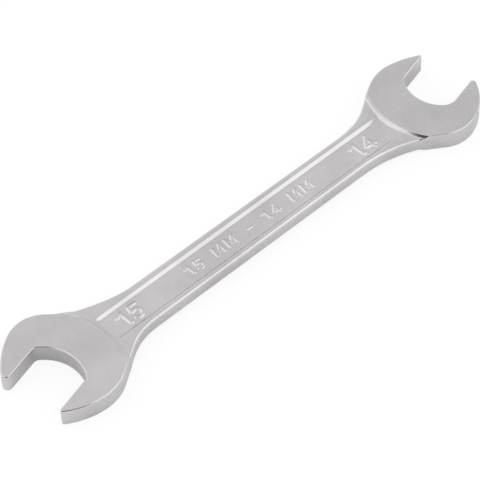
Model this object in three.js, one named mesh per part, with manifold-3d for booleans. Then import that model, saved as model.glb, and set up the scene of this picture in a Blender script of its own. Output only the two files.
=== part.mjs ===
// Double open end wrench, 15 mm at one end and 14 mm at the other, forged in one piece.
// Millimetres. X runs along the shank towards the 14 mm end, Y across it, Z up through the faces.
import * as THREE from "three";
import { mergeVertices } from "three/addons/utils/BufferGeometryUtils.js";
import Module from "manifold-3d";

const wasm = await Module();
wasm.setup();

// Whole tool
const headSpacing = 112.8; // from the middle of one head to the middle of the other
const jawDegrees = 15; // each mouth's axis is turned this far from the shank
const headThickness = 5.8;
const headEdgeRadius = 0.4;
const headEdgeFacets = 3;
const facetTolerance = 0.02; // largest gap between a curve and its facets

// Shank, a flat bar with rounded edges
const shankThickness = 4.25;
const shankEdgeRadius = 1.0;
const shankEdgeFacets = 4;
const shankStraight = 64.4; // length between the starts of the two necks
const neckFacets = 14;

// Panel sunk into both faces of the shank
const panelWidth = 8.25; // between the upper edges of its two walls
const panelAside = -0.19; // its middle from the middle of the shank, on the upper face
const panelDepth = 0.62;
const panelWallRun = 0.9; // how far a wall leans in over its height
const panelCornerRun = 0.3; // rounding along the top and the foot of a wall
const panelCornerFacets = 3;
const panelRampFacets = 8; // where the floor rises to the face at each end
const panelEndShare = 0.01; // what is left of the depth at the very end of the panel

// Step from the ground head face down to the shank
const stepRun = 0.85;
const stepCurveShares = { run: 0.3, rise: 0.45 }; // where the hollow curve of the step is pulled to
const stepFacets = 4;

// Past each surface that a cutting shape passes through
const overrun = 1.5;

// An arm is one jaw with its cheek. Its outline runs from the shank through the neck, the crown
// at the widest place, a flatter arc out to the tip, the nose, the jaw flat and the throat.
const end14 = {
  shankWidth: 10.7,
  panelReach: 46.2, // end of the sunk panel, from the middle of the tool
  panelRamp: 6.3, // length over which its floor rises to the face there
  opening: 14.15,
  throatRadius: 9.58,
  throatDepth: 0.41, // bottom of the throat behind the middle of the head
  faceRadius: 19.6, // arc of the step across the back of the head
  faceDepth: 10.34, // that arc behind the middle of the head
  longArm: {
    side: -1,
    halfWidth: 14.0,
    crownRadius: 9.17,
    crownAhead: 0.96,
    crownDegrees: 7.5, // turn past the widest place where the flatter arc starts
    tipRadius: 14.33,
    noseRadius: 0.87,
    cornerRadius: 3.9, // between the jaw flat and the throat
    neckDegrees: 33.5, // turn before the crown's top, square to the shank, where the neck joins
    neckLead: 12.16, // pull of the neck's curve along the shank
    neckPull: 3.17, // and along the crown
  },
  shortArm: {
    side: 1,
    halfWidth: 13.54,
    crownRadius: 11.21,
    crownAhead: -0.2,
    crownDegrees: 26.8,
    tipRadius: 26.7,
    noseRadius: 0.45,
    cornerRadius: 2.1,
    neckDegrees: 27.5,
    neckLead: 10.95,
    neckPull: 8.81,
  },
};
const end15 = {
  shankWidth: 11.23,
  panelReach: 45,
  panelRamp: 3.4,
  opening: 15.15,
  throatRadius: 10.93,
  throatDepth: 1.23,
  faceRadius: 20.6,
  faceDepth: 11.0,
  longArm: {
    side: -1,
    halfWidth: 15.12,
    crownRadius: 9.29,
    crownAhead: 0.27,
    crownDegrees: 15.7,
    tipRadius: 22.6,
    noseRadius: 1.3,
    cornerRadius: 1.6,
    neckDegrees: 43.6,
    neckLead: 5.0,
    neckPull: 4.24,
  },
  shortArm: {
    side: 1,
    halfWidth: 14.78,
    crownRadius: 12.34,
    crownAhead: -0.34,
    crownDegrees: 18.7,
    tipRadius: 20.0,
    noseRadius: 0.45,
    cornerRadius: 2.1,
    neckDegrees: 32.5,
    neckLead: 7.72,
    neckPull: 9.43,
  },
};

const chrome = new THREE.MeshStandardMaterial({ color: 0xc4c3c1, roughness: 0.3, metalness: 1.0 });

const jawAngle = THREE.MathUtils.degToRad(jawDegrees);
const headCentre = new THREE.Vector2(headSpacing / 2, 0);
const quarterTurn = Math.PI / 2;

// Solids for joining and cutting, and back to geometry

function solidOf(geometry) {
  const bare = geometry.clone();
  bare.deleteAttribute("normal");
  bare.deleteAttribute("uv");
  const merged = mergeVertices(bare);
  const mesh = new wasm.Mesh({
    numProp: 3,
    vertProperties: new Float32Array(merged.attributes.position.array),
    triVerts: new Uint32Array(merged.index.array),
  });
  return new wasm.Manifold(mesh);
}

function geometryOf(solid) {
  const mesh = solid.getMesh();
  const geometry = new THREE.BufferGeometry();
  geometry.setAttribute("position", new THREE.BufferAttribute(mesh.vertProperties, 3));
  geometry.setIndex(new THREE.BufferAttribute(mesh.triVerts, 1));
  geometry.computeVertexNormals();
  return geometry;
}

// Outline of one end, drawn with the shank to the left. The long arm is below, the short arm above.

// A point given along the mouth's axis and across it, from the middle of the head
function fromJaw(along, across) {
  return new THREE.Vector2(along, across).rotateAround(new THREE.Vector2(), jawAngle).add(headCentre);
}

function arc(centre, radius, startAngle, endAngle) {
  const facetAngle = 2 * Math.acos(1 - facetTolerance / radius);
  const facets = Math.max(2, Math.ceil(Math.abs(endAngle - startAngle) / facetAngle));
  const clockwise = endAngle < startAngle;
  const curve = new THREE.EllipseCurve(
    centre.x, centre.y, radius, radius, startAngle, endAngle, clockwise,
  );
  return curve.getPoints(facets);
}

// The crown's circle and the place where the neck runs into it, in the tool's frame
function crownOf(arm) {
  const centre = new THREE.Vector2(arm.crownAhead, arm.halfWidth - arm.crownRadius);
  const neckAngle = THREE.MathUtils.degToRad(arm.neckDegrees);
  const startAngle = quarterTurn + neckAngle - arm.side * jawAngle;
  return { centre, neckAngle, startAngle };
}

function neckOutline(end, arm) {
  const { centre, neckAngle, startAngle } = crownOf(arm);
  const alongCrown = centre.x + arm.crownRadius * Math.cos(startAngle);
  const acrossCrown = centre.y + arm.crownRadius * Math.sin(startAngle);
  const onCrown = fromJaw(alongCrown, arm.side * acrossCrown);
  const back = new THREE.Vector2(-Math.cos(neckAngle), -arm.side * Math.sin(neckAngle));
  const onShank = new THREE.Vector2(shankStraight / 2, arm.side * end.shankWidth / 2);
  const lead = new THREE.Vector2(onShank.x + arm.neckLead, onShank.y);
  const pull = onCrown.clone().addScaledVector(back, arm.neckPull);
  return new THREE.CubicBezierCurve(onShank, lead, pull, onCrown).getPoints(neckFacets);
}

// From the crown round the tip and along the jaw flat to the bottom of the throat
function jawOutline(end, arm) {
  const { centre: crown, startAngle } = crownOf(arm);
  const flat = end.opening / 2;
  const changeAngle = quarterTurn - THREE.MathUtils.degToRad(arm.crownDegrees);
  const toChange = new THREE.Vector2(Math.cos(changeAngle), Math.sin(changeAngle));
  const tip = crown.clone().addScaledVector(toChange, arm.crownRadius - arm.tipRadius);

  const noseAcross = flat + arm.noseRadius;
  const noseReach = Math.sqrt((arm.tipRadius - arm.noseRadius) ** 2 - (noseAcross - tip.y) ** 2);
  const nose = new THREE.Vector2(tip.x + noseReach, noseAcross);
  const noseAngle = Math.atan2(nose.y - tip.y, nose.x - tip.x);

  const throat = new THREE.Vector2(end.throatRadius - end.throatDepth, 0);
  const cornerAcross = flat - arm.cornerRadius;
  const cornerReach = Math.sqrt((end.throatRadius - arm.cornerRadius) ** 2 - cornerAcross ** 2);
  const corner = new THREE.Vector2(throat.x - cornerReach, cornerAcross);
  const cornerAngle = Math.atan2(corner.y, corner.x - throat.x);

  const stretches = [
    arc(crown, arm.crownRadius, startAngle, changeAngle),
    arc(tip, arm.tipRadius, changeAngle, noseAngle),
    arc(nose, arm.noseRadius, noseAngle, -quarterTurn),
    arc(corner, arm.cornerRadius, quarterTurn, cornerAngle),
    arc(throat, end.throatRadius, cornerAngle, Math.PI),
  ];
  return stretches.flat().map((p) => fromJaw(p.x, arm.side * p.y));
}

function withoutRepeats(points) {
  return points.filter((p, i) => p.distanceTo(points[(i + 1) % points.length]) > facetTolerance / 2);
}

function headOutline(end) {
  const long = [...neckOutline(end, end.longArm), ...jawOutline(end, end.longArm)];
  const short = [...neckOutline(end, end.shortArm), ...jawOutline(end, end.shortArm)];
  return withoutRepeats([...long, ...short.reverse()]);
}

// The shank with its two necks, closed inside each head by way of the crowns and the metal
// behind the throat
function shankEnd(end) {
  const atCrown = (arm) => fromJaw(arm.crownAhead, arm.side * arm.halfWidth);
  const behindThroat = fromJaw(-(end.faceDepth + end.throatDepth) / 2, 0);
  return [
    ...neckOutline(end, end.longArm),
    atCrown(end.longArm),
    behindThroat,
    atCrown(end.shortArm),
    ...neckOutline(end, end.shortArm).reverse(),
  ];
}

function shankOutline() {
  return [...shankEnd(end14), ...shankEnd(end15).map((p) => p.negate())];
}

// Solids

// A plate about the middle plane, with its edges rounded inside the outline
function roundedPlate(points, thickness, edgeRadius, edgeFacets) {
  const geometry = new THREE.ExtrudeGeometry(new THREE.Shape(points), {
    depth: thickness - 2 * edgeRadius,
    bevelThickness: edgeRadius,
    bevelSize: edgeRadius,
    bevelOffset: -edgeRadius,
    bevelSegments: edgeFacets,
  });
  geometry.translate(0, 0, edgeRadius - thickness / 2);
  return solidOf(geometry);
}

// The round block that the head is cut from. Its rim makes the hollow step down to the shank.
function faceBlock(end) {
  const top = headThickness / 2;
  const shankTop = shankThickness / 2;
  const rise = top - shankTop;
  const rim = new THREE.Vector2(end.faceRadius, top);
  const foot = new THREE.Vector2(end.faceRadius + stepRun, shankTop);
  const pull = new THREE.Vector2(
    end.faceRadius + stepCurveShares.run * stepRun,
    shankTop + stepCurveShares.rise * rise,
  );
  const slope = foot.clone().sub(pull);
  const toe = foot.clone().addScaledVector(slope, shankEdgeRadius / -slope.y);
  const upper = [
    toe,
    ...new THREE.QuadraticBezierCurve(foot, pull, rim).getPoints(stepFacets),
    new THREE.Vector2(end.faceRadius, top + overrun),
    new THREE.Vector2(0, top + overrun),
  ];
  const lower = upper.map((p) => new THREE.Vector2(p.x, -p.y)).reverse();
  const facets = Math.ceil(Math.PI / Math.acos(1 - facetTolerance / end.faceRadius));
  const geometry = new THREE.LatheGeometry([...lower, ...upper], facets);
  geometry.rotateX(quarterTurn);
  const centre = fromJaw(end.faceRadius - end.faceDepth, 0);
  geometry.translate(centre.x, centre.y, 0);
  return solidOf(geometry);
}

function head(end) {
  const plate = roundedPlate(headOutline(end), headThickness, headEdgeRadius, headEdgeFacets);
  return plate.intersect(faceBlock(end));
}

// A closed skin through rings of points that all have the same number of corners
function loft(rings) {
  const corners = rings[0].length;
  const positions = rings.flat().flatMap((p) => [p.x, p.y, p.z]);
  const index = [];
  for (let r = 0; r + 1 < rings.length; r += 1) {
    for (let c = 0; c < corners; c += 1) {
      const next = (c + 1) % corners;
      const a = r * corners + c;
      const b = r * corners + next;
      index.push(a, b, b + corners);
      index.push(a, b + corners, a + corners);
    }
  }
  const flatRing = rings[0].map((p) => new THREE.Vector2(p.y, p.z));
  const last = (rings.length - 1) * corners;
  for (const [a, b, c] of THREE.ShapeUtils.triangulateShape(flatRing, [])) {
    index.push(c, b, a);
    index.push(last + a, last + b, last + c);
  }
  const geometry = new THREE.BufferGeometry();
  geometry.setAttribute("position", new THREE.Float32BufferAttribute(positions, 3));
  geometry.setIndex(index);
  return geometry;
}

// What is sunk out of the upper face. The wall keeps its slope while the floor rises at the ends.
function panelCutter() {
  const face = shankThickness / 2;
  const wallTop = new THREE.Vector2(0, 0);
  const wallFoot = new THREE.Vector2(-panelWallRun, -panelDepth);
  const alongWall = wallFoot.clone().normalize().multiplyScalar(panelCornerRun);
  const onFace = new THREE.Vector2(panelCornerRun, 0);
  const onFloor = new THREE.Vector2(wallFoot.x - panelCornerRun, wallFoot.y);
  const upperBend = new THREE.QuadraticBezierCurve(onFace, wallTop, alongWall);
  const lowerBend = new THREE.QuadraticBezierCurve(wallFoot.clone().sub(alongWall), wallFoot, onFloor);
  const wall = [
    ...upperBend.getPoints(panelCornerFacets),
    ...lowerBend.getPoints(panelCornerFacets),
  ];

  const ring = (x, share) => {
    const down = wall.map((p) => new THREE.Vector3(x, panelWidth / 2 + p.x * share, face + p.y * share));
    const lid = new THREE.Vector3(x, down[0].y, face + overrun);
    const half = [...down.reverse(), lid];
    const mirrored = half.map((p) => new THREE.Vector3(p.x, -p.y, p.z)).reverse();
    return [...half, ...mirrored];
  };
  const ramp = (end) => {
    const rings = [];
    for (let i = 0; i <= panelRampFacets; i += 1) {
      const t = i / panelRampFacets;
      const share = Math.max(panelEndShare, THREE.MathUtils.smoothstep(t, 0, 1));
      rings.push({ x: end.panelReach - end.panelRamp * t, share });
    }
    return rings;
  };
  const left = ramp(end15).map(({ x, share }) => ring(-x, share));
  const right = ramp(end14).map(({ x, share }) => ring(x, share));
  return solidOf(loft([...left, ...right.reverse()])).translate([0, panelAside, 0]);
}

function forgedBody() {
  const panel = panelCutter();
  const shank = roundedPlate(shankOutline(), shankThickness, shankEdgeRadius, shankEdgeFacets)
    .subtract(panel)
    .subtract(panel.rotate([180, 0, 0]));
  const body = shank.add(head(end14)).add(head(end15).rotate([0, 0, 180]));
  const mesh = new THREE.Mesh(geometryOf(body), chrome);
  mesh.name = "forged_body";
  return mesh;
}

// The wrench lies on its head faces, with the middle of its length and width over the origin.
const wrench = new THREE.Group();
const body = forgedBody();
const bounds = new THREE.Box3().setFromObject(body);
const middle = bounds.getCenter(new THREE.Vector3());
body.position.set(-middle.x, -middle.y, -bounds.min.z);
wrench.add(body);

export default wrench;
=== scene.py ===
import math

import bpy
import numpy as np
from mathutils import Matrix, Vector
from mathutils.geometry import delaunay_2d_cdt
from mathutils.kdtree import KDTree


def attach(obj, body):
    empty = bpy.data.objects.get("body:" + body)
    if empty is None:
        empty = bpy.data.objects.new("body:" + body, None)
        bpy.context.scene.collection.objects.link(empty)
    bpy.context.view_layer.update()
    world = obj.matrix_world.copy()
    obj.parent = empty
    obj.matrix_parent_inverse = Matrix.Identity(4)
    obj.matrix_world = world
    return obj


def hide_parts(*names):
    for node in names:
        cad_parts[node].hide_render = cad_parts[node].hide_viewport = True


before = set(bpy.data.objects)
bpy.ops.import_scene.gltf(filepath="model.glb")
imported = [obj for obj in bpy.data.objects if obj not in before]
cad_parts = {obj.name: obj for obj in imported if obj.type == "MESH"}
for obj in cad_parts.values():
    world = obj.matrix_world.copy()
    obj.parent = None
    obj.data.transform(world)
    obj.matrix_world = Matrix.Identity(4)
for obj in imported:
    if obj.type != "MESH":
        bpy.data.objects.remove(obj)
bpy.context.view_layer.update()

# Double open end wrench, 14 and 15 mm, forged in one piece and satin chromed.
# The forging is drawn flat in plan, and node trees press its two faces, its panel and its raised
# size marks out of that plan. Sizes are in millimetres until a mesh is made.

MM = 0.001

# ---------------------------------------------------------------------------
# Sizes
# ---------------------------------------------------------------------------

HEAD_SPACING = 112.8  # from the middle of one head to the middle of the other
JAW_TURN = math.radians(15)
HEAD_THICKNESS = 5.8
HEAD_EDGE_RADIUS = 0.4
SHANK_THICKNESS = 4.25
SHANK_EDGE_RADIUS = 0.8
SHANK_STRAIGHT = 64.4  # between the starts of the two necks

NECK_14_EDGE_RADIUS = 0.5  # of the shank's edge where it meets the 14 mm head
NECK_14_TAPER = 9.0  # length over which that edge grows as round as the rest
RIM_WIDENING = 1.15  # length beside a step over which a head's rim grows as round as the shank

PANEL_WIDTH = 8.25
PANEL_ASIDE = -0.19  # its middle from the middle of the shank, on the upper face
PANEL_DEPTH = 0.62
PANEL_WALL_RUN = 0.9
PANEL_LEAN = 0.6  # where the floor rises, 1 would only flatten the walls and 0 only narrow them

# Each end has a step from its ground face down to the shank, hollower for a higher power, and two
# arms. An arm's outline runs from the shank through the neck, the crown at the widest place, a
# flatter arc out to the tip, the nose, the jaw flat and the throat.
END_14 = dict(
    shank_width=10.7, panel_reach=46.8, panel_ramp=6.3, opening=14.15,
    throat_radius=9.58, throat_depth=0.41, face_radius=19.6, face_depth=10.34,
    step_run=0.75, step_power=1.6,
    long_arm=dict(
        side=-1, half_width=14.0, crown_radius=9.17, crown_ahead=0.96, crown_turn=7.5,
        tip_radius=14.33, nose_radius=0.87, corner_radius=3.9,
        neck_turn=33.5, neck_lead=12.16, neck_pull=3.17,
    ),
    short_arm=dict(
        side=1, half_width=13.54, crown_radius=11.21, crown_ahead=-0.2, crown_turn=26.8,
        tip_radius=26.7, nose_radius=0.45, corner_radius=2.1,
        neck_turn=27.5, neck_lead=10.95, neck_pull=8.81,
    ),
)
END_15 = dict(
    shank_width=11.23, panel_reach=45.9, panel_ramp=3.4, opening=15.15,
    throat_radius=10.93, throat_depth=1.23, face_radius=20.6, face_depth=11.0,
    step_run=1.2, step_power=1.2,
    long_arm=dict(
        side=-1, half_width=15.12, crown_radius=9.29, crown_ahead=0.27, crown_turn=15.7,
        tip_radius=22.6, nose_radius=1.3, corner_radius=1.6,
        neck_turn=43.6, neck_lead=5.0, neck_pull=4.24,
    ),
    short_arm=dict(
        side=1, half_width=14.78, crown_radius=12.34, crown_ahead=-0.34, crown_turn=18.7,
        tip_radius=20.0, nose_radius=0.45, corner_radius=2.1,
        neck_turn=32.5, neck_lead=7.72, neck_pull=9.43,
    ),
)
ENDS = {14: END_14, 15: END_15}
LONGEST_STEP = max(end["step_run"] for end in ENDS.values())

# Raised strokes pressed in the panel by the die: their height, half of their flat top and the
# width of their sloping side
STROKES = {
    "Number": dict(rise=0.27, half_width=0.12, slope=0.47),
    "Row": dict(rise=0.22, half_width=0.08, slope=0.38),
}

# Softness of the pressed corners
RIM_SOFTNESS = 0.2
FOOT_SOFTNESS = 0.22
PANEL_SOFTNESS = 0.25

# A face that is this level and this near to a head's full height is ground
LEVEL_SHARE = 0.93
GROUND_MARGIN = 0.06

# How finely the outline is drawn
OUTLINE_STEP = 0.3
LARGEST_TURN = math.radians(5)
NECK_STRETCH = 1.2  # steps along a neck are counted on this many times its chord
GLYPH_ARC_STEPS = 14

# Rows of points in from the outline, out from a round face, and across a wall of the panel from 0
# at its top to 1 at its foot
HEAD_RINGS = (0.015, 0.05, 0.1, 0.16, 0.22, 0.27, 0.3, 0.36, 0.5)
SHANK_RINGS = (0.02, 0.07, 0.14, 0.22, 0.31, 0.41, 0.52, 0.64, 0.77, 0.9, 1.0, 1.12)
STEP_GAPS = (
    -0.4, -0.2, -0.1, -0.04, 0.0, 0.05, 0.12, 0.2, 0.3, 0.4,
    0.5, 0.6, 0.7, 0.8, 0.92, 1.05, 1.2, 1.35, 1.5,
)
WALL_PLACES = (-0.3, -0.15, -0.05, 0.05, 0.15, 0.3, 0.5, 0.7, 0.85, 0.95, 1.05, 1.2, 1.4, 1.6)
STEP_MARGIN = 0.3  # the rows of a head go on this far past the longest step
PANEL_STEP = 0.5  # along a wall of the panel

# Rows beside a stroke: its middle, one on its flat top, some down its side and one past its foot
STROKE_TOP_SHARE = 0.6
STROKE_ROWS = 5
STROKE_FOOT_SHARE = 1.25
STROKE_STEP = 0.12
STROKE_THINNING = 0.06
STROKE_SLACK = 0.01
STROKE_TURN_STEPS = 16

# Least distances from a new point to the points before it
LEAST_GAP = 0.035
STROKE_GAP = LEAST_GAP * 1.3
WALL_GAP = LEAST_GAP * 1.5

# Points in the open, in rows that make nearly even triangles
FILL_STEP = 1.0
FILL_ROW_STEP = FILL_STEP * 0.87
FILL_GAP = FILL_STEP * 0.45

SIDE_ROWS = 4  # of faces between the outline and the middle of the thickness
PLAN_TOLERANCE = 1e-6
WELD = 0.001
SLICE = 2000  # points measured at a time


# ---------------------------------------------------------------------------
# Outline in plan
# ---------------------------------------------------------------------------

def from_jaw(along, across):
    """A point given along a mouth's axis and across it, from the middle of the head."""
    c, s = math.cos(JAW_TURN), math.sin(JAW_TURN)
    return np.array([HEAD_SPACING / 2 + along * c - across * s, along * s + across * c])


def on_circle(radius, angle):
    return radius * np.array([math.cos(angle), math.sin(angle)])


def arc(centre, radius, start, end):
    count = max(2, math.ceil(abs(end - start) / min(LARGEST_TURN, OUTLINE_STEP / radius)))
    return [centre + on_circle(radius, angle) for angle in np.linspace(start, end, count + 1)]


def straight(start, end):
    count = max(1, math.ceil(np.linalg.norm(end - start) / OUTLINE_STEP))
    return [start + (end - start) * t for t in np.linspace(0, 1, count + 1)]


def neck(end, arm):
    """From the shank to the crown, and the crown's centre and the angle where the two meet."""
    side, turn = arm["side"], math.radians(arm["neck_turn"])
    crown = np.array([arm["crown_ahead"], arm["half_width"] - arm["crown_radius"]])
    start = math.pi / 2 + turn - side * JAW_TURN
    meet = crown + on_circle(arm["crown_radius"], start)
    on_crown = from_jaw(meet[0], side * meet[1])
    on_shank = np.array([SHANK_STRAIGHT / 2, side * end["shank_width"] / 2])
    lead = on_shank + np.array([arm["neck_lead"], 0])
    pull = on_crown - arm["neck_pull"] * np.array([math.cos(turn), side * math.sin(turn)])
    length = NECK_STRETCH * np.linalg.norm(on_crown - on_shank)
    points = []
    for t in np.linspace(0, 1, math.ceil(length / OUTLINE_STEP)):
        u = 1 - t
        near = u**3 * on_shank + 3 * u * u * t * lead
        points.append(near + 3 * u * t * t * pull + t**3 * on_crown)
    return points, crown, start


def arm_outline(end, arm):
    """Points from the shank round the arm to the bottom of the throat, and how many of them are
    outside the mouth."""
    points, crown, start = neck(end, arm)
    flat = end["opening"] / 2
    change = math.pi / 2 - math.radians(arm["crown_turn"])
    tip = crown + on_circle(arm["crown_radius"] - arm["tip_radius"], change)
    to_nose = arm["tip_radius"] - arm["nose_radius"]
    nose_across = flat + arm["nose_radius"]
    nose_reach = math.sqrt(to_nose**2 - (nose_across - tip[1]) ** 2)
    nose = np.array([tip[0] + nose_reach, nose_across])
    nose_turn = math.atan2(nose[1] - tip[1], nose[0] - tip[0])

    throat = np.array([end["throat_radius"] - end["throat_depth"], 0.0])
    to_corner = end["throat_radius"] - arm["corner_radius"]
    corner_across = flat - arm["corner_radius"]
    corner = np.array([throat[0] - math.sqrt(to_corner**2 - corner_across**2), corner_across])
    corner_turn = math.atan2(corner[1], corner[0] - throat[0])

    outside = [
        *arc(crown, arm["crown_radius"], start, change),
        *arc(tip, arm["tip_radius"], change, nose_turn),
        *arc(nose, arm["nose_radius"], nose_turn, -math.pi / 2),
    ]
    mouth = [
        *straight(np.array([nose[0], flat]), np.array([corner[0], flat])),
        *arc(corner, arm["corner_radius"], math.pi / 2, corner_turn),
        *arc(throat, end["throat_radius"], corner_turn, math.pi),
    ]
    placed = [from_jaw(p[0], arm["side"] * p[1]) for p in [*outside, *mouth]]
    return points + placed, len(points) + len(outside)


def end_outline(end):
    """One end anticlockwise from the shank's near side to its far side, and whether each point is
    in the mouth."""
    long, long_mouth = arm_outline(end, end["long_arm"])
    short, short_mouth = arm_outline(end, end["short_arm"])
    in_mouth = [i >= long_mouth for i in range(len(long))]
    in_mouth += [i >= short_mouth for i in range(len(short))][::-1]
    return long + short[::-1], in_mouth


def whole_outline():
    right, right_mouth = end_outline(END_14)
    left, left_mouth = end_outline(END_15)
    left = [-p for p in left]
    far = straight(right[-1], left[0])[1:-1]
    near = straight(left[-1], right[0])[1:-1]
    points = right + far + left + near
    in_mouth = right_mouth + [False] * len(far) + left_mouth + [False] * len(near)
    steps = [np.linalg.norm(points[i] - points[i - 1]) for i in range(len(points))]
    kept = [i for i, step in enumerate(steps) if step > LEAST_GAP / 2]
    return np.array([points[i] for i in kept]), [in_mouth[i] for i in kept]


def outward_normals(loop):
    along = np.roll(loop, -1, axis=0) - loop
    along /= np.linalg.norm(along, axis=1)[:, None]
    mean = along + np.roll(along, 1, axis=0)
    mean /= np.linalg.norm(mean, axis=1)[:, None]
    return np.column_stack([mean[:, 1], -mean[:, 0]])


# ---------------------------------------------------------------------------
# Raised marks
# ---------------------------------------------------------------------------

def glyph_arc(x, y, rx, ry, start, end):
    angles = np.radians(np.linspace(start, end, GLYPH_ARC_STEPS + 1))
    return [(x + rx * math.cos(a), y + ry * math.sin(a)) for a in angles]


# Width and strokes of each glyph, drawn in a box one high
GLYPHS = {
    "1": (0.6, [[(0.0, 0.78), (0.39, 1.0), (0.5, 0.0), (0.6, 0.01)]]),
    "4": (0.82, [[(0.6, 1.0), (0.08, 0.28), (0.8, 0.2)], [(0.5, 0.62), (0.6, 0.0)]]),
    "5": (0.75, [[
        (0.68, 1.0), (0.12, 1.0), (0.08, 0.56), *glyph_arc(0.36, 0.31, 0.33, 0.32, 122, -142),
    ]]),
    "M": (1.05, [[(0.04, 0.0), (0.08, 1.0), (0.52, 0.25), (0.92, 1.0), (1.0, 0.0)]]),
    "-": (0.6, [[(0.06, 0.45), (0.54, 0.45)]]),
}
# Text, height, place of the middle of its base line and gap between glyphs
MARKS = {
    "Number": (("15", 3.85, (-36.95, -2.3), 1.1), ("14", 3.85, (36.53, -2.3), 1.0)),
    "Row": (("15 MM - 14 MM", 2.55, (0.25, -1.45), 1.24),),
}


def mark_strokes(marks):
    strokes = []
    for text, height, (middle, base), gap in marks:
        widths = [GLYPHS[c][0] * height if c in GLYPHS else gap for c in text]
        x = middle - (sum(widths) + gap * (len(text) - 1)) / 2
        for c, width in zip(text, widths):
            for stroke in GLYPHS.get(c, (0, []))[1]:
                strokes.append(np.array([(x + u * height, base + v * height) for u, v in stroke]))
            x += width + gap
    return strokes


# ---------------------------------------------------------------------------
# Plan mesh
# ---------------------------------------------------------------------------

def face_centre(end):
    """Middle of a head's round face, for a head at the +X end."""
    return from_jaw(end["face_radius"] - end["face_depth"], 0)


FACES = {
    14: (face_centre(END_14), END_14["face_radius"]),
    15: (-face_centre(END_15), END_15["face_radius"]),
}


def face_gap(points):
    """How far each point lies outside the nearer head's round face."""
    gaps = [np.linalg.norm(points - centre, axis=1) - radius for centre, radius in FACES.values()]
    return np.minimum(*gaps)


def segments_distance(points, starts, ends):
    """Least distance from each point to any of the segments, worked through in slices."""
    least = np.full(len(points), np.inf)
    along = ends - starts
    length2 = (along**2).sum(1)
    for first in range(0, len(points), SLICE):
        p = points[first:first + SLICE, None, :]
        t = np.clip(((p - starts) * along).sum(2) / length2, 0, 1)
        gap = p - (starts + along * t[..., None])
        least[first:first + SLICE] = np.sqrt((gap**2).sum(2).min(1))
    return least


def inside(points, loop):
    result = np.zeros(len(points), bool)
    x, y = points[:, 0], points[:, 1]
    for (x0, y0), (x1, y1) in zip(loop, np.roll(loop, -1, axis=0)):
        if y0 != y1:
            result ^= ((y0 > y) != (y1 > y)) & (x < (x1 - x0) * (y - y0) / (y1 - y0) + x0)
    return result


def point_tree(points):
    tree = KDTree(len(points))
    for i, p in enumerate(points):
        tree.insert((p[0], p[1], 0), i)
    tree.balance()
    return tree


def thinned(points, gap):
    """Drops points that lie closer than gap to one before them."""
    tree = point_tree(points)
    dropped = np.zeros(len(points), bool)
    for i, p in enumerate(points):
        if dropped[i]:
            continue
        for _, j, _ in tree.find_range((p[0], p[1], 0), gap):
            if j > i:
                dropped[j] = True
    return points[~dropped]


class Plan:
    """Points of the plan and the lines that its triangles keep to."""

    def __init__(self):
        self.points = []
        self.lines = []

    def add_line(self, points, closed=False):
        first, count = len(self.points), len(points)
        self.points.extend(tuple(p) for p in points)
        for i in range(count if closed else count - 1):
            self.lines.append((first + i, first + (i + 1) % count))

    def add_apart(self, points, gap):
        """Adds those points that lie farther than gap from every point there was before."""
        tree = point_tree(self.points)
        self.points += [tuple(p) for p in points if tree.find((p[0], p[1], 0))[2] > gap]


def runs(flags):
    """Stretches of a row where the flag is set, as lists of places."""
    stretch, found = [], []
    for i, flag in enumerate(flags):
        if flag:
            stretch.append(i)
        elif stretch:
            found.append(stretch)
            stretch = []
    return found + ([stretch] if stretch else [])


def panel_share(x):
    """How much of its depth the panel has at each place along the shank."""
    right = np.clip((END_14["panel_reach"] - x) / END_14["panel_ramp"], 0, 1)
    left = np.clip((END_15["panel_reach"] + x) / END_15["panel_ramp"], 0, 1)
    t = np.minimum(right, left)
    return t * t * (3 - 2 * t)


def stroke_points(strokes, distance):
    """Points at a distance to both sides of the strokes and round their corners."""
    points = []
    turn = np.linspace(0, 2 * math.pi, STROKE_TURN_STEPS, endpoint=False)
    ring = distance * np.column_stack([np.cos(turn), np.sin(turn)])
    for stroke in strokes:
        for a, b in zip(stroke[:-1], stroke[1:]):
            length = np.linalg.norm(b - a)
            count = max(1, math.ceil(length / STROKE_STEP))
            piece = np.array([a + (b - a) * k / count for k in range(count)] + [b])
            normal = np.array([a[1] - b[1], b[0] - a[0]]) / length
            points += [*(piece + normal * distance), *(piece - normal * distance)]
        for corner in stroke:
            points += list(corner + ring)
    return np.array(points)


def add_strokes(plan, strokes, sizes):
    """Points in rows beside the strokes, close together where their sides slope."""
    starts = np.array([a for s in strokes for a in s[:-1]])
    ends = np.array([b for s in strokes for b in s[1:]])
    top, slope = sizes["half_width"], sizes["slope"]
    down_side = top + slope * np.linspace(0, 1, STROKE_ROWS)
    for distance in (0.0, top * STROKE_TOP_SHARE, *down_side, top + slope * STROKE_FOOT_SHARE):
        points = stroke_points(strokes, distance)
        outer = segments_distance(points, starts, ends) > distance - STROKE_SLACK
        plan.add_apart(thinned(points[outer], STROKE_THINNING), STROKE_GAP)


def add_rings(plan, loop):
    """Rows of points in from the outline. Near a step the rows of head and shank meet, so there
    they are loose points."""
    normals = outward_normals(loop)
    gap = face_gap(loop)
    on_head = gap < LONGEST_STEP + STEP_MARGIN
    on_shank = gap > -RIM_WIDENING
    both = on_head & on_shank
    for offsets, zone in ((HEAD_RINGS, on_head), (SHANK_RINGS, on_shank)):
        for offset in offsets:
            ring = loop - normals * offset
            for stretch in runs(zone & ~both):
                plan.add_line(ring[stretch])
    for offset in sorted({*HEAD_RINGS, *SHANK_RINGS}):
        plan.add_apart((loop - normals * offset)[both], LEAST_GAP)


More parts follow.
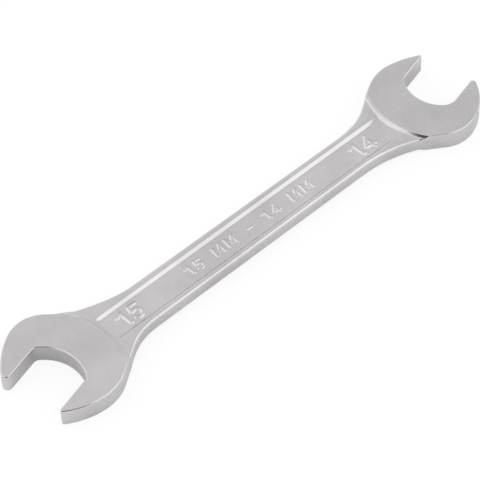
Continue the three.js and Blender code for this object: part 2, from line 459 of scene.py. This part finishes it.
def add_steps(plan, loop, outline_distance):
    """Rows of points along the two steps."""
    for centre, radius in FACES.values():
        angles = np.arange(0, 2 * math.pi, OUTLINE_STEP / radius)
        for gap in STEP_GAPS:
            ring = centre + (radius + gap) * np.column_stack([np.cos(angles), np.sin(angles)])
            ring = ring[inside(ring, loop)]
            ring = ring[np.abs(ring[:, 0]) < HEAD_SPACING / 2]
            plan.add_apart(ring[outline_distance(ring) > LEAST_GAP], LEAST_GAP)


def add_panel_walls(plan):
    along = np.arange(-END_15["panel_reach"], END_14["panel_reach"] + PANEL_STEP / 2, PANEL_STEP)
    run_share = panel_share(along) ** (1 - PANEL_LEAN)
    for side in (-1, 1):
        for place in WALL_PLACES:
            inward = min(place, 0) + run_share * min(max(place, 0), 1) + max(place - 1, 0)
            across = PANEL_WIDTH / 2 - PANEL_WALL_RUN * inward
            row = np.column_stack([along, side * across + PANEL_ASIDE])
            plan.add_apart(row[face_gap(row) > LONGEST_STEP], WALL_GAP)


def draw_plan(loop, strokes):
    starts, ends = loop, np.roll(loop, -1, axis=0)

    def outline_distance(points):
        return segments_distance(points, starts, ends)

    plan = Plan()
    plan.add_line(loop, closed=True)
    add_rings(plan, loop)
    add_steps(plan, loop, outline_distance)
    add_panel_walls(plan)
    for kind, lines in strokes.items():
        add_strokes(plan, lines, STROKES[kind])

    low, high = loop.min(0), loop.max(0)
    xs = np.arange(low[0], high[0], FILL_STEP)
    ys = np.arange(low[1], high[1], FILL_ROW_STEP)
    grid = np.array([(x + (k % 2) * FILL_STEP / 2, y) for k, y in enumerate(ys) for x in xs])
    grid = grid[inside(grid, loop)]
    plan.add_apart(grid[outline_distance(grid) > FILL_STEP / 2], FILL_GAP)
    return plan


# ---------------------------------------------------------------------------
# Node trees
# ---------------------------------------------------------------------------

GEOMETRY_TREE, SHADER_TREE = "GeometryNodeTree", "ShaderNodeTree"
FLOAT, VECTOR = "NodeSocketFloat", "NodeSocketVector"
GEOMETRY, OBJECT, MATERIAL = "NodeSocketGeometry", "NodeSocketObject", "NodeSocketMaterial"


def add_node(tree, kind, feeds=None, **settings):
    """A node with its settings, and its sockets fed by plain values or by other sockets."""
    node = tree.nodes.new(kind)
    for name, value in settings.items():
        setattr(node, name, value)
    for socket, value in (feeds or {}).items():
        if isinstance(value, bpy.types.NodeSocket):
            tree.links.new(value, node.inputs[socket])
        else:
            node.inputs[socket].default_value = value
    return node


def calc(tree, operation, *values):
    feeds = dict(enumerate(values))
    return add_node(tree, "ShaderNodeMath", feeds, operation=operation).outputs[0]


def map_range(tree, value, source, target=(0.0, 1.0), **settings):
    """A value carried over from one range to another and held at its ends."""
    feeds = {"Value": value, "From Min": source[0], "From Max": source[1]}
    feeds.update({"To Min": target[0], "To Max": target[1]})
    return add_node(tree, "ShaderNodeMapRange", feeds, **settings).outputs[0]


def parts_of(tree, vector):
    return add_node(tree, "ShaderNodeSeparateXYZ", {0: vector}).outputs


def floats(*names):
    return {name: (FLOAT, None) for name in names}


def new_group(name, kind, inputs, outputs):
    """A node group with named sockets: its tree, what is given to it and what it puts out. Each
    input has a type and, if it needs one, a first value."""
    tree = bpy.data.node_groups.new(name, kind)
    for socket, (socket_type, default) in inputs.items():
        made = tree.interface.new_socket(socket, in_out="INPUT", socket_type=socket_type)
        if default is not None:
            made.default_value = default
    for socket, socket_type in outputs.items():
        tree.interface.new_socket(socket, in_out="OUTPUT", socket_type=socket_type)
    return tree, tree.nodes.new("NodeGroupInput").outputs, tree.nodes.new("NodeGroupOutput").inputs


def use_group(tree, group, feeds):
    kind = "GeometryNodeGroup" if group.bl_idname == GEOMETRY_TREE else "ShaderNodeGroup"
    return add_node(tree, kind, feeds, node_tree=group).outputs


# ---------------------------------------------------------------------------
# Relief of the forging
# ---------------------------------------------------------------------------

def rounded_edge_group():
    """Height of a flat plate whose edge is rounded, from the distance to its outline."""
    tree, given, out = new_group(
        "rounded edge", GEOMETRY_TREE, floats("Distance", "Half Thickness", "Radius"),
        {"Height": FLOAT},
    )
    radius = given["Radius"]
    left = calc(tree, "SUBTRACT", radius, calc(tree, "MINIMUM", given["Distance"], radius))
    radius2, left2 = calc(tree, "MULTIPLY", radius, radius), calc(tree, "MULTIPLY", left, left)
    rise2 = calc(tree, "SUBTRACT", radius2, left2)
    rise = calc(tree, "SQRT", calc(tree, "MAXIMUM", rise2, 0.0))
    flat = calc(tree, "SUBTRACT", given["Half Thickness"], radius)
    tree.links.new(calc(tree, "ADD", flat, rise), out["Height"])
    return tree


def head_step_group():
    """Height of the round block that a head is cut from: over the head it is out of the way, and
    past the face's arc it falls in a hollow curve to the shank and on below it."""
    tree, given, out = new_group(
        "head step", GEOMETRY_TREE,
        {"Centre": (VECTOR, None), **floats("Face Radius", "Run", "Power", "Top", "Foot")},
        {"Height": FLOAT, "Gap": FLOAT},
    )
    place = add_node(tree, "GeometryNodeInputPosition").outputs[0]
    feeds = {0: place, 1: given["Centre"]}
    reach = add_node(tree, "ShaderNodeVectorMath", feeds, operation="DISTANCE").outputs["Value"]
    gap = calc(tree, "SUBTRACT", reach, given["Face Radius"])
    share = calc(tree, "DIVIDE", gap, given["Run"])
    left = calc(tree, "MAXIMUM", calc(tree, "SUBTRACT", 1.0, share), 0.0)
    past = calc(tree, "MAXIMUM", calc(tree, "SUBTRACT", share, 1.0), 0.0)
    fall = calc(tree, "SUBTRACT", calc(tree, "POWER", left, given["Power"]), past)
    rise = calc(tree, "SUBTRACT", given["Top"], given["Foot"])
    tree.links.new(calc(tree, "MULTIPLY_ADD", rise, fall, given["Foot"]), out["Height"])
    tree.links.new(gap, out["Gap"])
    return tree


def panel_group():
    """How deep the panel is sunk. Its walls grow flatter and narrower where its floor rises at
    the ends."""
    tree, given, out = new_group(
        "sunk panel", GEOMETRY_TREE,
        floats(
            "Width", "Aside", "Depth", "Wall Run", "Right Reach", "Right Ramp",
            "Left Reach", "Left Ramp", "Lean", "Softness",
        ),
        {"Sink": FLOAT},
    )
    x, y, _ = parts_of(tree, add_node(tree, "GeometryNodeInputPosition").outputs[0])
    to_right = calc(tree, "SUBTRACT", given["Right Reach"], x)
    to_left = calc(tree, "ADD", given["Left Reach"], x)
    on_ramp = calc(
        tree, "MINIMUM",
        calc(tree, "DIVIDE", to_right, given["Right Ramp"]),
        calc(tree, "DIVIDE", to_left, given["Left Ramp"]),
    )
    share = map_range(tree, on_ramp, (0.0, 1.0), interpolation_type="SMOOTHSTEP")
    floor = calc(tree, "MULTIPLY", given["Depth"], share)
    off_middle = calc(tree, "ABSOLUTE", calc(tree, "SUBTRACT", y, given["Aside"]))
    inner = calc(tree, "SUBTRACT", calc(tree, "MULTIPLY", given["Width"], 0.5), off_middle)
    steepness = calc(tree, "DIVIDE", given["Depth"], given["Wall Run"])
    leaning = calc(tree, "MULTIPLY", steepness, calc(tree, "POWER", share, given["Lean"]))
    wall = calc(tree, "MULTIPLY", inner, leaning)
    sink = calc(tree, "SMOOTH_MIN", wall, floor, given["Softness"])
    tree.links.new(calc(tree, "SMOOTH_MAX", sink, 0.0, given["Softness"]), out["Sink"])
    return tree


def distance_to_edges(tree, edges):
    mesh = add_node(tree, "GeometryNodeObjectInfo", {"Object": edges}).outputs["Geometry"]
    near = add_node(tree, "GeometryNodeProximity", {"Geometry": mesh}, target_element="EDGES")
    return near.outputs["Distance"]


def raised_mark_group():
    """How high the size marks stand out, from the distance to the nearest stroke."""
    tree, given, out = new_group(
        "raised marks", GEOMETRY_TREE,
        {"Strokes": (OBJECT, None), **floats("Rise", "Half Width", "Slope")}, {"Rise": FLOAT},
    )
    away = distance_to_edges(tree, given["Strokes"])
    foot = calc(tree, "ADD", given["Half Width"], given["Slope"])
    rise = map_range(tree, away, (given["Half Width"], foot), (given["Rise"], 0.0))
    tree.links.new(rise, out["Rise"])
    return tree


def forging_inputs():
    lengths = {
        "Head Thickness": HEAD_THICKNESS, "Head Edge Radius": HEAD_EDGE_RADIUS,
        "Shank Thickness": SHANK_THICKNESS, "Shank Edge Radius": SHANK_EDGE_RADIUS,
        "Neck 14 Edge Radius": NECK_14_EDGE_RADIUS, "Neck 14 Taper": NECK_14_TAPER,
        "Rim Widening": RIM_WIDENING, "Rim Softness": RIM_SOFTNESS, "Foot Softness": FOOT_SOFTNESS,
        "Panel Width": PANEL_WIDTH, "Panel Aside": PANEL_ASIDE, "Panel Depth": PANEL_DEPTH,
        "Panel Wall Run": PANEL_WALL_RUN, "Panel Softness": PANEL_SOFTNESS,
    }
    inputs = {"Plan": (GEOMETRY, None), "Panel Lean": (FLOAT, PANEL_LEAN)}
    for size, end in ENDS.items():
        lengths[f"Face Radius {size}"] = end["face_radius"]
        lengths[f"Step Run {size}"] = end["step_run"]
        lengths[f"Panel Reach {size}"] = end["panel_reach"]
        lengths[f"Panel Ramp {size}"] = end["panel_ramp"]
        x, y = FACES[size][0] * MM
        inputs[f"Face Centre {size}"] = (VECTOR, (x, y, 0.0))
        inputs[f"Step Power {size}"] = (FLOAT, end["step_power"])
    for kind, stroke in STROKES.items():
        lengths[f"{kind} Rise"] = stroke["rise"]
        lengths[f"{kind} Half Width"] = stroke["half_width"]
        lengths[f"{kind} Slope"] = stroke["slope"]
    inputs.update({name: (FLOAT, length * MM) for name, length in lengths.items()})
    for name in ("Outline", "Number Strokes", "Row Strokes"):
        inputs[name] = (OBJECT, None)
    for name in ("Forged Finish", "Ground Finish", "Jaw Finish"):
        inputs[name] = (MATERIAL, None)
    return inputs


def head_and_shank(tree, given, half_head, half_shank):
    """Heights of the heads, cut off by their steps, and of the shank without its panel."""
    step, edge = head_step_group(), rounded_edge_group()
    away = distance_to_edges(tree, given["Outline"])
    blocks = [
        use_group(tree, step, {
            "Centre": given[f"Face Centre {size}"], "Face Radius": given[f"Face Radius {size}"],
            "Run": given[f"Step Run {size}"], "Power": given[f"Step Power {size}"],
            "Top": half_head, "Foot": half_shank,
        })
        for size in ENDS
    ]
    block = calc(tree, "MAXIMUM", blocks[0]["Height"], blocks[1]["Height"])
    gap = calc(tree, "MINIMUM", blocks[0]["Gap"], blocks[1]["Gap"])
    shank_radius = map_range(
        tree, blocks[0]["Gap"], (0.0, given["Neck 14 Taper"]),
        (given["Neck 14 Edge Radius"], given["Shank Edge Radius"]),
    )
    widening = calc(tree, "MULTIPLY", given["Rim Widening"], -1.0)
    head_radius = map_range(tree, gap, (widening, 0.0), (given["Head Edge Radius"], shank_radius))
    head_plate, shank_plate = [
        use_group(tree, edge, {"Distance": away, "Half Thickness": half, "Radius": radius})
        for half, radius in ((half_head, head_radius), (half_shank, shank_radius))
    ]
    head = calc(tree, "SMOOTH_MIN", head_plate["Height"], block, given["Rim Softness"])
    return head, shank_plate["Height"]


def finished(tree, given, body, half_head):
    """The body with a ground finish on the level faces of its heads, a jaw finish in its mouths
    and the finish of the forging elsewhere."""
    facing = parts_of(tree, add_node(tree, "GeometryNodeInputNormal").outputs[0])["Z"]
    level = calc(tree, "GREATER_THAN", calc(tree, "ABSOLUTE", facing), LEVEL_SHARE)
    place = parts_of(tree, add_node(tree, "GeometryNodeInputPosition").outputs[0])["Z"]
    nearly_full = calc(tree, "SUBTRACT", half_head, GROUND_MARGIN * MM)
    proud = calc(tree, "GREATER_THAN", calc(tree, "ABSOLUTE", place), nearly_full)
    ground = calc(tree, "MULTIPLY", level, proud)
    named = {"Name": "mouth"}
    mouth = add_node(tree, "GeometryNodeInputNamedAttribute", named, data_type="BOOLEAN")
    in_mouth = mouth.outputs["Attribute"]
    selections = {"Forged Finish": True, "Ground Finish": ground, "Jaw Finish": in_mouth}
    for finish, selection in selections.items():
        feeds = {"Geometry": body, "Selection": selection, "Material": given[finish]}
        body = add_node(tree, "GeometryNodeSetMaterial", feeds).outputs[0]
    return body


def forging_group():
    """Presses the plan into the forging: an upper and a lower skin that meet half way down the
    outline. Marks stand on the upper skin alone."""
    tree, given, out = new_group(
        "forged relief", GEOMETRY_TREE, forging_inputs(), {"Forging": GEOMETRY},
    )
    half_head = calc(tree, "MULTIPLY", given["Head Thickness"], 0.5)
    half_shank = calc(tree, "MULTIPLY", given["Shank Thickness"], 0.5)
    head, shank_plate = head_and_shank(tree, given, half_head, half_shank)
    mark = raised_mark_group()
    numbers, row = [
        use_group(tree, mark, {
            "Strokes": given[f"{kind} Strokes"], "Rise": given[f"{kind} Rise"],
            "Half Width": given[f"{kind} Half Width"], "Slope": given[f"{kind} Slope"],
        })["Rise"]
        for kind in STROKES
    ]
    marks = calc(tree, "MAXIMUM", numbers, row)

    panel = panel_group()
    named = {"Name": "down"}
    down = add_node(tree, "GeometryNodeInputNamedAttribute", named, data_type="FLOAT")
    up = calc(tree, "SUBTRACT", 1.0, down.outputs["Attribute"])
    skins = []
    for side, rise in ((1.0, marks), (-1.0, 0.0)):
        sink = use_group(tree, panel, {
            "Width": given["Panel Width"],
            "Aside": calc(tree, "MULTIPLY", given["Panel Aside"], side),
            "Depth": given["Panel Depth"], "Wall Run": given["Panel Wall Run"],
            "Right Reach": given["Panel Reach 14"], "Right Ramp": given["Panel Ramp 14"],
            "Left Reach": given["Panel Reach 15"], "Left Ramp": given["Panel Ramp 15"],
            "Lean": given["Panel Lean"], "Softness": given["Panel Softness"],
        })["Sink"]
        shank = calc(tree, "ADD", calc(tree, "SUBTRACT", shank_plate, sink), rise)
        surface = calc(tree, "SMOOTH_MAX", shank, head, given["Foot Softness"])
        height = calc(tree, "MULTIPLY", calc(tree, "MULTIPLY", surface, up), side)
        lift = add_node(tree, "ShaderNodeCombineXYZ", {"Z": height}).outputs[0]
        feeds = {"Geometry": given["Plan"], "Offset": lift}
        skins.append(add_node(tree, "GeometryNodeSetPosition", feeds).outputs[0])
    lower = add_node(tree, "GeometryNodeFlipFaces", {"Mesh": skins[1]}).outputs[0]
    joined = add_node(tree, "GeometryNodeJoinGeometry")
    for skin in (skins[0], lower):
        tree.links.new(skin, joined.inputs[0])
    feeds = {"Geometry": joined.outputs[0], "Distance": WELD * MM}
    closed = add_node(tree, "GeometryNodeMergeByDistance", feeds).outputs[0]
    feeds = {"Geometry": closed, "Shade Smooth": True}
    smooth = add_node(tree, "GeometryNodeSetShadeSmooth", feeds).outputs[0]
    body = add_node(tree, "GeometryNodeRealizeInstances", {"Geometry": smooth}).outputs[0]
    tree.links.new(finished(tree, given, body, half_head), out["Forging"])
    return tree


# ---------------------------------------------------------------------------
# Making the piece
# ---------------------------------------------------------------------------

def keep_object(name, data):
    obj = bpy.data.objects.new(name, data)
    bpy.context.scene.collection.objects.link(obj)
    return obj


def edge_object(name, lines, closed):
    """Lines in plan as loose edges, for the trees to measure from."""
    points, edges = [], []
    for line in lines:
        first, count = len(points), len(line)
        last = count if closed else count - 1
        points += [(x * MM, y * MM, 0.0) for x, y in line]
        edges += [(first + i, first + (i + 1) % count) for i in range(last)]
    mesh = bpy.data.meshes.new(name)
    mesh.from_pydata(points, edges, [])
    return keep_object(name, mesh)


def plan_object(name, loop, in_mouth, strokes):
    """The plan as one flat mesh. Rows of faces under its outline, without width as yet, are pulled
    down into the side wall by the tree, by the share in the attribute down."""
    plan = draw_plan(loop, strokes)
    flat, _, triangles, sources, _, _ = delaunay_2d_cdt(
        [Vector(p) for p in plan.points], plan.lines, [], 1, PLAN_TOLERANCE,
    )
    points = [(p.x * MM, p.y * MM, 0.0) for p in flat]
    down = [0.0] * len(points)
    faces = []
    for a, b, c in triangles:
        turn = (flat[b] - flat[a]).cross(flat[c] - flat[a])
        faces.append((a, b, c) if turn > 0 else (a, c, b))
    mouth = [False] * len(faces)
    made_of = {source: i for i, origin in enumerate(sources) for source in origin}
    count = len(loop)
    above = [made_of[i] for i in range(count)]
    for row in range(1, SIDE_ROWS + 1):
        below = [len(points) + i for i in range(count)]
        points += [points[i] for i in above]
        down += [row / SIDE_ROWS] * count
        for i in range(count):
            j = (i + 1) % count
            faces.append((above[i], below[i], below[j], above[j]))
            mouth.append(in_mouth[i] and in_mouth[j])
        above = below
    mesh = bpy.data.meshes.new(name)
    mesh.from_pydata(points, [], faces)
    mesh.attributes.new("down", "FLOAT", "POINT").data.foreach_set("value", down)
    mesh.attributes.new("mouth", "BOOLEAN", "FACE").data.foreach_set("value", mouth)
    return keep_object(name, mesh)


def made_by_nodes(name, source, group, values):
    """Runs a geometry tree on an object and keeps the result as a plain mesh under a new name."""
    modifier = source.modifiers.new("tree", "NODES")
    modifier.node_group = group
    for item in group.interface.items_tree:
        if item.item_type == "SOCKET" and item.in_out == "INPUT" and item.name in values:
            modifier[item.identifier] = values[item.name]
    evaluated = source.evaluated_get(bpy.context.evaluated_depsgraph_get())
    mesh = bpy.data.meshes.new_from_object(evaluated)
    mesh.name = name
    source.modifiers.remove(modifier)
    return keep_object(name, mesh)


# ---------------------------------------------------------------------------
# Finishes
# ---------------------------------------------------------------------------

CHROME = (0.535, 0.5245, 0.5225)
FORGED_CHROME = (0.55, 0.539, 0.537)
TONE_SHARES = (0.92, 1.05)  # of the chrome's colour, from no haze to full haze
HAZE_SCALE = 90.0
HAZE_RANGE = (0.34, 0.66)  # of the noise that makes the haze
PATCH_SCALE = 260.0  # of the noise that breaks up the hairlines
HAIRLINE_RANGE = (0.2, 0.8)  # of their mask, from the lowest roughness to the highest


def noise(tree, place, scale, detail, roughness=0.5):
    feeds = {"Vector": place, "Scale": scale, "Detail": detail, "Roughness": roughness}
    return add_node(tree, "ShaderNodeTexNoise", feeds).outputs["Fac"]


def scratch_group():
    """Fine hairlines that run one way, broken up so that none is endless."""
    tree, given, out = new_group(
        "hairlines", SHADER_TREE,
        {"Across": (FLOAT, 4000.0), "Stretch": (VECTOR, (1.0, 0.05, 0.05)), "Cover": (FLOAT, 0.5)},
        {"Mask": FLOAT},
    )
    place = add_node(tree, "ShaderNodeTexCoord").outputs["Object"]
    feeds = {0: place, "Scale": given["Across"]}
    fine = add_node(tree, "ShaderNodeVectorMath", feeds, operation="SCALE").outputs["Vector"]
    feeds = {0: fine, 1: given["Stretch"]}
    drawn = add_node(tree, "ShaderNodeVectorMath", feeds, operation="MULTIPLY").outputs["Vector"]
    lines = noise(tree, drawn, 1.0, detail=3.0, roughness=0.6)
    patches = noise(tree, place, PATCH_SCALE, detail=1.0)
    cover = calc(tree, "ADD", patches, given["Cover"])
    tree.links.new(calc(tree, "MULTIPLY", lines, cover), out["Mask"])
    return tree


def forged_skin_group():
    """The slight waviness and pebble of a forged and tumbled face under its plating."""
    tree, given, out = new_group(
        "forged skin", SHADER_TREE,
        {"Wave": (FLOAT, 320.0), "Pebble": (FLOAT, 2600.0), "Pebble Share": (FLOAT, 0.25)},
        {"Height": FLOAT, "Haze": FLOAT},
    )
    place = add_node(tree, "ShaderNodeTexCoord").outputs["Object"]
    wave = noise(tree, place, given["Wave"], detail=2.0, roughness=0.45)
    pebble = noise(tree, place, given["Pebble"], detail=1.0)
    haze = noise(tree, place, HAZE_SCALE, detail=4.0, roughness=0.55)
    height = calc(tree, "MULTIPLY_ADD", pebble, given["Pebble Share"], wave)
    tree.links.new(height, out["Height"])
    tree.links.new(map_range(tree, haze, HAZE_RANGE), out["Haze"])
    return tree


def chrome_material(name, skin, hairlines, colour, roughness, bump, skin_share, line_feeds):
    """Satin chrome over steel: a metal whose sheen, tone and relief follow the two groups."""
    material = bpy.data.materials.new(name)
    material.use_nodes = True
    tree = material.node_tree
    surface = tree.nodes["Principled BSDF"].inputs
    surface["Metallic"].default_value = 1.0
    relief = use_group(tree, skin, {})
    lines = use_group(tree, hairlines, line_feeds)["Mask"]
    dull, bright = [[c * share for c in colour] + [1.0] for share in TONE_SHARES]
    feeds = {"Factor": relief["Haze"], "A": dull, "B": bright}
    tone = add_node(tree, "ShaderNodeMix", feeds, data_type="RGBA")
    tree.links.new([s for s in tone.outputs if s.type == "RGBA"][0], surface["Base Color"])
    tree.links.new(map_range(tree, lines, HAIRLINE_RANGE, roughness), surface["Roughness"])
    height = calc(tree, "MULTIPLY_ADD", relief["Height"], skin_share, lines)
    strength, distance = bump
    feeds = {"Height": height, "Strength": strength, "Distance": distance * MM}
    tree.links.new(add_node(tree, "ShaderNodeBump", feeds).outputs[0], surface["Normal"])
    return material


forged_skin = forged_skin_group()
hairlines = scratch_group()
finishes = {
    "Forged Finish": chrome_material(
        "forged_chrome", forged_skin, hairlines, FORGED_CHROME,
        roughness=(0.2, 0.3), bump=(0.08, 0.02), skin_share=1.0,
        line_feeds={"Across": 1500.0, "Stretch": (1.0, 1.0, 1.0), "Cover": 0.5},
    ),
    "Ground Finish": chrome_material(
        "ground_chrome", forged_skin, hairlines, CHROME,
        roughness=(0.24, 0.34), bump=(0.16, 0.004), skin_share=0.5,
        line_feeds={"Across": 9000.0, "Stretch": (0.04, 1.0, 1.0), "Cover": 0.6},
    ),
    "Jaw Finish": chrome_material(
        "jaw_chrome", forged_skin, hairlines, CHROME,
        roughness=(0.24, 0.34), bump=(0.15, 0.006), skin_share=0.3,
        line_feeds={"Across": 7000.0, "Stretch": (1.0, 1.0, 0.03), "Cover": 0.6},
    ),
}

outline, in_mouth = whole_outline()
strokes = {kind: mark_strokes(marks) for kind, marks in MARKS.items()}
edges = {"Outline": edge_object("outline_edges", [outline], closed=True)}
for kind, lines in strokes.items():
    edges[f"{kind} Strokes"] = edge_object(f"{kind.lower()}_edges", lines, closed=False)
plan = plan_object("plan", outline, in_mouth, strokes)
wrench = made_by_nodes("wrench_forging", plan, forging_group(), edges | finishes)
for helper in (*edges.values(), plan):
    bpy.data.objects.remove(helper)

# It lies on its head faces, with the middle of its length and width over the origin.
corners = np.array([v.co for v in wrench.data.vertices])
low, high = corners.min(0), corners.max(0)
middle = (low + high) / 2
wrench.data.transform(Matrix.Translation((-middle[0], -middle[1], -low[2])))
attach(wrench, "root")
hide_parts("forged_body")

# ---------------------------------------------------------------------------
# Camera, floor and lamps
# ---------------------------------------------------------------------------

CAMERA_PLACE = (-0.256862, -0.323834, 0.590609)
CAMERA_RIGHT = (0.756788, -0.652881, -0.031907)
CAMERA_UP = (0.549415, 0.608893, 0.572182)
CAMERA_LENS = 225.0
WHITE = (1.0, 1.0, 1.0, 1.0)
FLOOR_HEIGHT = -0.02 * MM  # a hair under the heads, so that the two don't share a plane
FLOOR_HALF_WIDTH = 3.0
FLOOR_COLOUR = (0.91, 0.91, 0.91, 1.0)
FLOOR_WHITE_SHARE = 0.85  # of plain white in what the camera sees of the floor
CARD_STEPS = 12
LAMP_DISTANCE = 0.9
SOFTBOXES = {
    "softbox_right": dict(azimuth=-60.0, elevation=38.0, width=1.2, height=0.9, radiance=0.6),
    "softbox_back": dict(azimuth=85.0, elevation=8.0, width=0.8, height=0.25, radiance=0.22),
    "softbox_left": dict(azimuth=145.0, elevation=38.0, width=1.6, height=0.9, radiance=0.48),
}


def add_camera():
    data = bpy.data.cameras.new("camera")
    data.sensor_width = 36.0
    data.lens = CAMERA_LENS
    camera = keep_object("camera", data)
    right, up = Vector(CAMERA_RIGHT), Vector(CAMERA_UP)
    turned = Matrix((right, up, right.cross(up))).transposed().to_4x4()
    camera.matrix_world = Matrix.Translation(CAMERA_PLACE) @ turned
    bpy.context.scene.camera = camera


def towards(azimuth, elevation, distance):
    a, e = math.radians(azimuth), math.radians(elevation)
    return Vector((math.cos(a) * math.cos(e), math.sin(a) * math.cos(e), math.sin(e))) * distance


def add_softbox(name, azimuth, elevation, width, height, radiance):
    """An area lamp that faces the object. In the chrome its radiance adds to that of the world
    behind it."""
    data = bpy.data.lights.new(name, "AREA")
    data.shape = "RECTANGLE"
    data.size, data.size_y = width, height
    data.energy = radiance * math.pi * width * height
    place = towards(azimuth, elevation, LAMP_DISTANCE)
    facing = place.to_track_quat("Z", "Y").to_matrix().to_4x4()
    keep_object(name, data).matrix_world = Matrix.Translation(place) @ facing


def plain_material(name, colour, roughness):
    """A dull plain material, and its surface node."""
    material = bpy.data.materials.new(name)
    material.use_nodes = True
    surface = material.node_tree.nodes["Principled BSDF"]
    surface.inputs["Base Color"].default_value = colour
    surface.inputs["Roughness"].default_value = roughness
    return material, surface


def add_card(name, azimuth, half_width, low, high, distance, grey):
    """A card that only the chrome sees, between two elevations. A product photographer hangs such
    cards, because bright chrome needs something darker to show its edges."""
    row = CARD_STEPS + 1
    points = [
        towards(
            azimuth + (2 * i / CARD_STEPS - 1) * half_width,
            low + (high - low) * j / CARD_STEPS, distance,
        )
        for j in range(row) for i in range(row)
    ]
    first = [j * row + i for j in range(CARD_STEPS) for i in range(CARD_STEPS)]
    mesh = bpy.data.meshes.new(name)
    mesh.from_pydata(points, [], [(k, k + 1, k + row + 1, k + row) for k in first])
    material, _ = plain_material(name, (grey, grey, grey, 1.0), roughness=0.9)
    mesh.materials.append(material)
    card = keep_object(name, mesh)
    card.visible_camera = card.visible_diffuse = card.visible_shadow = False
    return card


def add_floor(name):
    """A pale floor. To the camera most of it is plain white, so that only the shadow shows."""
    x = y = FLOOR_HALF_WIDTH
    outline = [(-x, -y), (x, -y), (x, y), (-x, y)]
    mesh = bpy.data.meshes.new(name)
    mesh.from_pydata([(*corner, FLOOR_HEIGHT) for corner in outline], [], [(0, 1, 2, 3)])
    material, surface = plain_material(name, FLOOR_COLOUR, roughness=0.8)
    surface.inputs["Specular IOR Level"].default_value = 0.2
    tree = material.node_tree
    seen = add_node(tree, "ShaderNodeLightPath").outputs["Is Camera Ray"]
    share = calc(tree, "MULTIPLY", seen, FLOOR_WHITE_SHARE)
    white = add_node(tree, "ShaderNodeEmission", {"Color": WHITE, "Strength": 1.0}).outputs[0]
    mixed = add_node(tree, "ShaderNodeMixShader", {0: share, 1: surface.outputs[0], 2: white})
    tree.links.new(mixed.outputs[0], tree.nodes["Material Output"].inputs["Surface"])
    mesh.materials.append(material)
    return keep_object(name, mesh)


def add_world():
    """White all round, to the camera, in the chrome and as light."""
    world = bpy.data.worlds.new("studio")
    bpy.context.scene.world = world
    world.use_nodes = True
    background = world.node_tree.nodes["Background"].inputs
    background["Color"].default_value = WHITE
    background["Strength"].default_value = 1.0


add_camera()
add_world()
floor = add_floor("floor")
flag = add_card(
    "camera_flag", azimuth=-134.0, half_width=31.0, low=3.0, high=52.0, distance=0.457, grey=0.02,
)
card = add_card(
    "grey_card", azimuth=22.0, half_width=13.0, low=46.0, high=80.0, distance=0.9, grey=0.65,
)
for name, softbox in SOFTBOXES.items():
    add_softbox(name, **softbox)

bpy.context.scene.view_settings.view_transform = "Standard"
